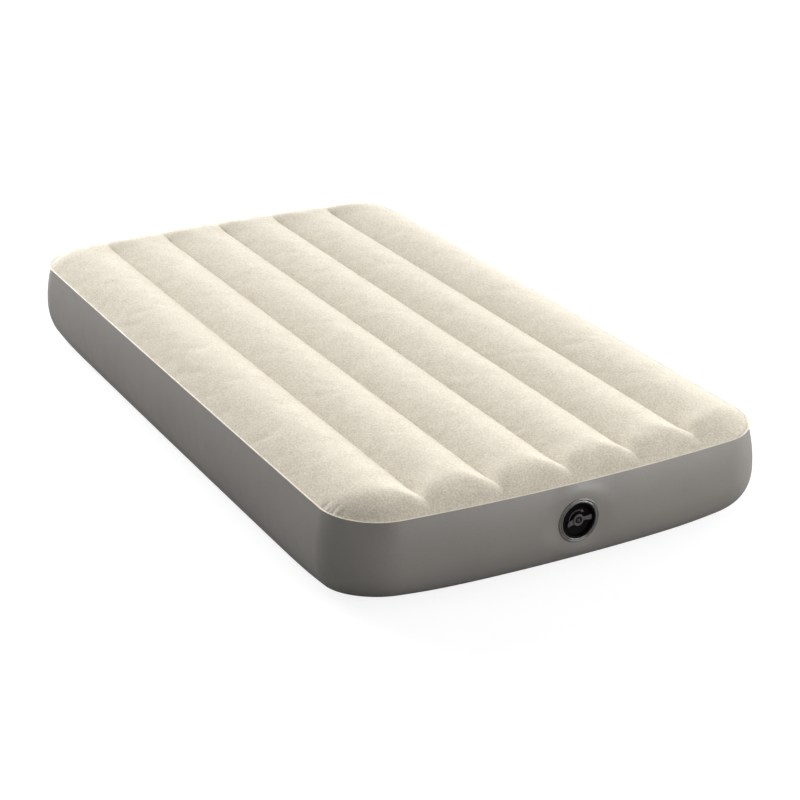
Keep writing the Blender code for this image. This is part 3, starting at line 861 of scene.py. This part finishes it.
def build_base(look):
    """The bottom sheet, on a coarser grid than the top."""
    full_x, full_y, x, y = plan(GRID_X[::4, ::2], GRID_Y[::4, ::2], tucked=1.0)
    edge = np.maximum(1 - inset(full_x, full_y) / SIDE_TUCK, 0.0) ** 2
    pressed = np.maximum(crease_share(full_x, full_y) - BASE_PRESSED, 0.0) / (1 - BASE_PRESSED)
    height = WELD_BASE * edge + BASE_CREASE * pressed + CORNER_LIFT * corner_share(full_x, full_y)
    points = np.stack([x, y, height], axis=-1)
    mesh = grid_mesh("base_cover", points)
    mesh.flip_normals()
    base = add_piece("base_cover", mesh, look, "envelope", ["bottom_sheet"])
    thicken(base)
    return base


# The flange's cross section: share of its reach, and side of its middle in half thicknesses
FLANGE_SECTION = [
    (-0.25, -1), (0.85, -1), (0.96, -0.7), (1.0, 0.0), (0.96, 0.7), (0.85, 1), (-0.25, 1),
]
FLANGE_WAVES = 8
FLANGE_COUNTS = (20, 160)       # how often a wave repeats round the flange
FLANGE_SWAY = 0.25              # share by which the waves change its reach


def build_flange(name, look, weld, lean, reach, thickness, waviness, seed):
    """The narrow flange of a weld: a thin tongue round the whole outline, leaning up by `lean`."""
    _, _, out_x, out_y, _ = outline()
    x, y, height = weld.T
    rng = np.random.default_rng(seed)
    angle = np.arctan2(y, x)
    wave = np.zeros_like(x)
    for _ in range(FLANGE_WAVES):
        count = rng.integers(*FLANGE_COUNTS)
        wave += np.sin(count * angle + rng.uniform(0, 2 * math.pi)) / FLANGE_WAVES
    reach = reach * (1 + FLANGE_SWAY * wave)
    half = thickness / 2
    points = np.empty((len(FLANGE_SECTION), x.size, 3))
    for row, (share, side) in enumerate(FLANGE_SECTION):
        out = reach * share * math.cos(lean) - side * half * math.sin(lean)
        up = reach * share * math.sin(lean) + side * half * math.cos(lean)
        points[row, :, 0] = x + out * out_x
        points[row, :, 1] = y + out * out_y
        points[row, :, 2] = height + up + waviness * wave * max(share, 0.0)
    closed = np.concatenate([points, points[:1]])
    mesh = grid_mesh(name, closed, ring=True)
    bm = bmesh.new()
    bm.from_mesh(mesh)
    bmesh.ops.remove_doubles(bm, verts=bm.verts, dist=SAME_POINT)
    bmesh.ops.recalc_face_normals(bm, faces=bm.faces)
    bm.to_mesh(mesh)
    bm.free()
    return add_piece(name, mesh, look, "envelope")


# ---- valve building helpers

TO_FRAME = (
    Matrix.Translation((0.0, VALVE_FRONT, VALVE_UP))
    @ Matrix.Rotation(math.pi / 2, 4, "X")
    @ Matrix.Scale(MM, 4)
)
ACROSS = Matrix.Rotation(math.pi / 2, 4, "Y")
ON_PIN = Matrix.Translation((0.0, PIN_UP, PIN_DEPTH)) @ ACROSS


def rounded_profile(corners, radius):
    """A closed profile of (radius, depth) points with each corner rounded, unless it is on the axis."""
    corners = [Vector(corner) for corner in corners]
    made = []
    for before, corner, after in zip(corners[-1:] + corners[:-1], corners, corners[1:] + corners[:1]):
        if corner.x < SAME_POINT:
            made.append(corner)
            continue
        back, ahead = before - corner, after - corner
        cut = min(radius, back.length * 0.45, ahead.length * 0.45)
        start, stop = corner + back.normalized() * cut, corner + ahead.normalized() * cut
        for k in range(FILLET_STEPS + 1):
            t = k / FILLET_STEPS
            made.append(start * (1 - t) ** 2 + corner * (2 * t * (1 - t)) + stop * t * t)
    return made


def lathe(bm, corners, radius, steps=TURN_STEPS, matrix=None):
    """Turns a closed profile about Z into bm. Two corners on the axis close a solid piece."""
    turns = [2 * math.pi * k / steps for k in range(steps)]
    rings = []
    for point in rounded_profile(corners, radius):
        if point.x < SAME_POINT:
            rings.append([bm.verts.new((0.0, 0.0, point.y))] * steps)
            continue
        ring = [bm.verts.new((point.x * math.cos(t), point.x * math.sin(t), point.y)) for t in turns]
        rings.append(ring)
    faces = []
    for ring, following in zip(rings, rings[1:] + rings[:1]):
        for k in range(steps):
            n = (k + 1) % steps
            loop = dict.fromkeys([ring[k], ring[n], following[n], following[k]])
            if len(loop) > 2:
                faces.append(bm.faces.new(list(loop)))
    bmesh.ops.recalc_face_normals(bm, faces=faces)
    if matrix is not None:
        bmesh.ops.transform(bm, matrix=matrix, verts=list({v for f in faces for v in f.verts}))


def plate(bm, outline_points, low, high, bevel, matrix=None):
    """Extrudes a flat outline from one depth to another and rounds its edges, in bm."""
    part = bmesh.new()
    base = part.faces.new([part.verts.new((x, y, low)) for x, y in outline_points])
    grown = bmesh.ops.extrude_face_region(part, geom=[base])
    tops = [item for item in grown["geom"] if isinstance(item, bmesh.types.BMVert)]
    bmesh.ops.translate(part, vec=(0, 0, high - low), verts=tops)
    bmesh.ops.recalc_face_normals(part, faces=part.faces)
    bmesh.ops.bevel(part, geom=part.edges[:] + part.verts[:], offset=bevel, segments=3,
                    profile=0.5, affect="EDGES", clamp_overlap=True)
    if matrix is not None:
        bmesh.ops.transform(part, matrix=matrix, verts=part.verts)
    mesh = bpy.data.meshes.new("plate")
    part.to_mesh(mesh)
    part.free()
    bm.from_mesh(mesh)
    bpy.data.meshes.remove(mesh)


def box_outline(low_x, high_x, low_y, high_y):
    return [(low_x, low_y), (high_x, low_y), (high_x, high_y), (low_x, high_y)]


def sweep(bm, sections):
    """Skins a row of closed cross sections (lists of points) and caps both ends."""
    rings = [[bm.verts.new(point) for point in section] for section in sections]
    faces = []
    for ring, following in zip(rings, rings[1:]):
        for k in range(len(ring)):
            n = (k + 1) % len(ring)
            faces.append(bm.faces.new((ring[k], ring[n], following[n], following[k])))
    faces.append(bm.faces.new(rings[0]))
    faces.append(bm.faces.new(rings[-1]))
    bmesh.ops.recalc_face_normals(bm, faces=faces)


def thread(bm, root, crest, start, stop, phase):
    """A right-handed thread ridge from depth start to stop, tapering away at both ends."""
    turns = (stop - start) / THREAD_PITCH
    steps = int(turns * TURN_STEPS)
    sections = []
    for k in range(steps + 1):
        share = k / steps
        turn = 2 * math.pi * turns * share + phase
        depth = start + (stop - start) * share
        fade = min(1.0, share * 14 + 0.05, (1 - share) * 14 + 0.05)
        top = root + (crest - root) * fade
        bottom = root - math.copysign(0.3, crest - root)
        flat = [
            (bottom, -THREAD_BASE), (root, -THREAD_BASE), (top, -THREAD_TIP),
            (top, THREAD_TIP), (root, THREAD_BASE), (bottom, THREAD_BASE),
        ]
        sections.append([(r * math.cos(turn), r * math.sin(turn), depth + up) for r, up in flat])
    sweep(bm, sections)


def arc_ridge(bm, radius, half_width, low, high, start, stop):
    """A raised line on the floor of the cap, along part of a circle. Angles are in degrees."""
    steps = TURN_STEPS // 2
    sections = []
    for k in range(steps + 1):
        turn = math.radians(start + (stop - start) * k / steps)
        inner, outer = radius - half_width, radius + half_width
        flat = [(inner - 0.2, low), (inner + 0.15, high), (outer - 0.15, high), (outer + 0.2, low)]
        sections.append([(r * math.cos(turn), r * math.sin(turn), up) for r, up in flat])
    sweep(bm, sections)


def turned_plate(bm, angle, outline_points, low, high, bevel):
    plate(bm, outline_points, low, high, bevel, Matrix.Rotation(math.radians(angle), 4, "Z"))


def valve_mesh(name, bm):
    """The mesh, in its place, of what was built in millimetres in the valve's axes."""
    bmesh.ops.transform(bm, matrix=TO_FRAME, verts=bm.verts)
    mesh = bpy.data.meshes.new(name)
    bm.to_mesh(mesh)
    bm.free()
    return mesh


def valve_piece(name, bm, look, body, stands_for=()):
    add_piece(name, valve_mesh(name, bm), look, body, stands_for)


# ---- valve

def build_collar(look):
    """Translucent collar: a rolled lip on the wall, a flange behind it and a tube going in."""
    bm = bmesh.new()
    profile = [
        (38.6, -0.5), (39.6, 0.0), (41.2, 0.0), (42.0, -0.9), (43.0, -1.2), (44.2, -0.6), (45.6, -0.6),
        (46.8, -1.3), (47.3, -2.45), (44.2, -2.45), (44.2, -3.9), (53.0, -3.9), (53.0, -5.0),
        (40.2, -5.0), (40.2, -36.0), (34.6, -36.0), (34.6, -34.6), (38.3, -34.6), (38.3, -1.2),
    ]
    lathe(bm, profile, 0.5)
    valve_piece("collar_ring", bm, look, "envelope", ["valve_collar"])


def build_socket(look):
    """Socket ring with an inner thread."""
    bm = bmesh.new()
    profile = [(34.3, -12.2), (37.9, -12.2), (37.9, -34.2), (33.7, -34.2), (33.7, -12.8)]
    lathe(bm, profile, 0.25)
    thread(bm, 33.7, 32.45, -33.0, -14.2, math.pi)
    valve_piece("socket_ring", bm, look, "envelope", ["threaded_socket"])


def build_gasket(look):
    bm = bmesh.new()
    profile = [(33.9, -9.8), (36.9, -9.8), (37.2, -10.85), (36.9, -11.9), (33.9, -11.9), (33.6, -10.85)]
    lathe(bm, profile, 0.6)
    valve_piece("sealing_washer", bm, look, "sealing_ring", ["cap_gasket"])


def build_cap(look):
    """Screw cap: rim, recessed floor, grip ribs, thread, port, spider and flap lugs."""
    bm = bmesh.new()
    profile = [
        (35.0, -0.3), (37.5, -0.3), (37.5, -9.5), (32.0, -9.5), (32.0, -28.0), (30.5, -28.0),
        (30.5, -9.5), (11.5, -9.5), (11.5, -20.0), (9.3, -20.0), (9.3, CAP_FLOOR),
        (33.3, CAP_FLOOR), (33.9, -2.2),
    ]
    lathe(bm, profile, 0.55)
    thread(bm, 32.0, 33.15, -26.6, -13.0, 0.0)
    rib = [(32.7, -0.45), (34.6, -0.75), (34.6, 0.75), (32.7, 0.45)]
    for k in range(GRIP_RIBS):
        turned_plate(bm, k * 360 / GRIP_RIBS, rib, FLOOR_ROOT, -1.7, 0.25)
    plate(bm, box_outline(-10.4, 10.4, -1.0, 1.0), -19.6, -18.2, 0.3)
    plate(bm, box_outline(-1.0, 1.0, -10.4, 10.4), -19.6, -17.2, 0.3)
    turns = [math.radians(degrees) for degrees in range(180, 361, 15)]
    lug = [(21.5 - 1.9 * math.sin(t), PIN_UP + 1.9 * math.cos(t)) for t in turns]
    for low in (-6.4, 3.6):
        plate(bm, lug + [(9.0, PIN_UP + 1.9), (9.0, PIN_UP - 1.9)], low, low + 2.8, 0.25, ACROSS)
    valve_piece("screw_cap", bm, look, "main_cap", ["main_cap"])


def build_arrow(look):
    """The raised arrow on the cap's floor that shows which way it turns."""
    bm = bmesh.new()
    arc_ridge(bm, 19.9, 0.8, FLOOR_ROOT, -6.5, 68.0, 214.0)
    head = [(r, math.radians(turn)) for r, turn in ((24.2, 66), (15.6, 66), (19.9, 46))]
    plate(bm, [(r * math.cos(t), r * math.sin(t)) for r, t in head], FLOOR_ROOT, -6.4, 0.25)
    valve_piece("turning_arrow", bm, look, "main_cap")


def build_foot(look):
    """The fixed end of the plug's strap."""
    bm = bmesh.new()
    foot = [(29.6, -5.5), (31.6, -5.5), (32.3, -4.8), (32.3, 4.8), (31.6, 5.5), (29.6, 5.5)]
    plate(bm, foot, -7.2, -4.2, 0.35)
    valve_piece("strap_anchor", bm, look, "main_cap", ["strap_foot"])


def build_pin(look):
    bm = bmesh.new()
    lathe(bm, [(0.0, -6.8), (1.0, -6.8), (1.0, 6.8), (0.0, 6.8)], 0.2, FINE_STEPS, ON_PIN)
    valve_piece("hinge_pin", bm, look, "main_cap", ["flap_pin"])


def tab_with_eye():
    """The pull tab: a leaf-shaped plate with a round eye cut through it."""
    leaf = [
        (-8.0, 4.6), (-16.5, 1.6), (-21.8, -0.9), (-24.0, -3.4), (-24.6, -6.6), (-24.1, -10.0),
        (-22.9, -11.9), (-20.6, -11.3), (-16.0, -9.6), (-8.0, -8.8),
    ]
    bm = bmesh.new()
    plate(bm, leaf, -6.0, -4.2, 0.35)
    mesh = bpy.data.meshes.new("tab")
    bm.to_mesh(mesh)
    bm.free()
    bore = bmesh.new()
    lathe(bore, [(0.0, -8.0), (1.5, -8.0), (1.5, -2.0), (0.0, -2.0)], 0.01, FINE_STEPS,
          Matrix.Translation((-20.4, -6.4, 0.0)))
    bore_mesh = bpy.data.meshes.new("bore")
    bore.to_mesh(bore_mesh)
    bore.free()
    body = new_object("tab", mesh)
    cutter = new_object("bore", bore_mesh)
    cut = body.modifiers.new("eye", "BOOLEAN")
    cut.object = cutter
    cut.operation = "DIFFERENCE"
    cut.solver = "EXACT"
    evaluated = body.evaluated_get(bpy.context.evaluated_depsgraph_get())
    made = bpy.data.meshes.new_from_object(evaluated)
    bpy.data.objects.remove(body)
    bpy.data.objects.remove(cutter)
    bpy.data.meshes.remove(mesh)
    bpy.data.meshes.remove(bore_mesh)
    return made


def build_plug(look):
    """Inflation plug: ringed hub with a cross, spigot, ribbed strap and pull tab with an eye."""
    bm = bmesh.new()
    profile = [
        (0.0, -5.0), (7.6, -5.0), (7.9, -2.8), (8.6, -2.5), (9.6, -2.5), (9.9, -2.9), (10.6, -2.9),
        (10.9, -2.5), (11.7, -2.5), (12.3, -3.1), (12.3, -6.05), (9.0, -6.05), (9.0, -7.6),
        (8.2, -12.0), (0.0, -12.0),
    ]
    lathe(bm, profile, 0.3)
    for angle in (45, 135):
        turned_plate(bm, angle, box_outline(-4.6, 4.6, -0.75, 0.75), -4.9, -2.6, 0.22)
    strap = [(9, -4), (20, -4), (26, -5.2), (29, -5.5), (29, 5.5), (26, 5.2), (20, 4), (9, 4)]
    plate(bm, strap, -6.0, -4.5, 0.35)
    for side in (-1, 1):
        rib = [(11.6, 2.6), (20, 2.6), (26.3, 3.7), (28.6, 4.1), (28.6, 4.9), (26.1, 4.6),
               (20, 3.6), (11.6, 3.6)]
        plate(bm, [(x, side * y) for x, y in rib[::side]], -4.8, -4.2, 0.2)
    plate(bm, box_outline(12.0, 27.8, -0.5, 0.5), -4.8, -4.3, 0.2)
    tab = tab_with_eye()
    bm.from_mesh(tab)
    bpy.data.meshes.remove(tab)
    valve_piece("pull_plug", bm, look, "inflation_plug", ["inflation_plug"])


def build_well(look):
    """The disc at the bottom of the hub's well, whose dark colour is painted shade for the recess."""
    bm = bmesh.new()
    lathe(bm, [(0.0, -4.7), (7.5, -4.7), (7.5, -5.1), (0.0, -5.1)], 0.1, TURN_STEPS // 2)
    valve_piece("hub_well_painted_shade", bm, look, "inflation_plug")


def build_plug_seal(look):
    bm = bmesh.new()
    lathe(bm, [(9.5, -6.35), (11.8, -6.35), (11.8, -7.2), (9.5, -7.2)], 0.35)
    valve_piece("plug_washer", bm, look, "inflation_plug", ["plug_seal"])


def build_strap_bend(look):
    """The thin living hinge between the strap and its fixed foot."""
    rows = np.linspace(28.0, 30.6, 17)
    halves = np.minimum(0.30 + 0.35 * np.abs(rows - 29.3), 0.6)
    sections = []
    for x, half in zip(rows, halves):
        low, high = STRAP_DEPTH - half, STRAP_DEPTH + half
        flat = [(-4.9, low), (4.9, low), (5.1, STRAP_DEPTH), (4.9, high), (-4.9, high),
                (-5.1, STRAP_DEPTH)]
        sections.append([(x, y, z) for y, z in flat])
    bm = bmesh.new()
    sweep(bm, sections)
    bend = show("strap_bend", valve_mesh("strap_bend", bm), look)
    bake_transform(bend)


def build_flap(look):
    """Rubber check flap with its tongue and knuckle."""
    bm = bmesh.new()
    lathe(bm, [(0.0, -20.3), (8.4, -20.3), (8.9, -20.6), (11.9, -20.35), (11.9, -21.5), (0.0, -21.5)],
          0.2, 64)
    plate(bm, [(-3.0, 8.0), (3.0, 8.0), (3.0, 13.2), (-3.0, 13.2)], -21.4, -20.5, 0.2)
    lathe(bm, [(1.3, -3.2), (2.0, -3.2), (2.0, 3.2), (1.3, 3.2)], 0.15, FINE_STEPS, ON_PIN)
    valve_piece("flap_valve", bm, look, "check_flap", ["check_flap"])


def build_valve():
    black = black_plastic()
    dark = plug_vinyl()
    rubber = seal_rubber()
    build_collar(collar_vinyl())
    build_socket(black)
    build_gasket(rubber)
    build_cap(black)
    build_foot(dark)
    build_pin(black)
    build_arrow(dark)
    build_plug(dark)
    # the well's dark disc is painted shade in the hub's recess
    build_well(plug_well_painted_shade())
    build_plug_seal(rubber)
    build_strap_bend(dark)
    build_flap(rubber)


# ---- envelope


def build_envelope():
    cream, edge, grey, under = flocked_cream(), weld_cream(), satin_grey(), base_grey()
    top = build_top(cream)
    wall = build_wall(grey)
    base = build_base(under)
    points = wall_points()[0]
    top_flange = build_flange(
        "top_weld_flange", edge, weld=points[0], lean=math.radians(20),
        reach=4.0 * MM, thickness=1.4 * MM, waviness=0.35 * MM, seed=3)
    base_flange = build_flange(
        "base_weld_flange", under, weld=points[-1], lean=math.radians(-10),
        reach=6.0 * MM, thickness=1.1 * MM, waviness=0.2 * MM, seed=5)
    beams = [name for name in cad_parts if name.startswith("beam_")]
    fibre, tape = beam_fibre(), beam_tape()
    for name in beams:
        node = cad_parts[name]
        node.data.materials.clear()
        node.data.materials.append(fibre if name.endswith("_web") else tape)


build_stage()
build_envelope()
build_valve()
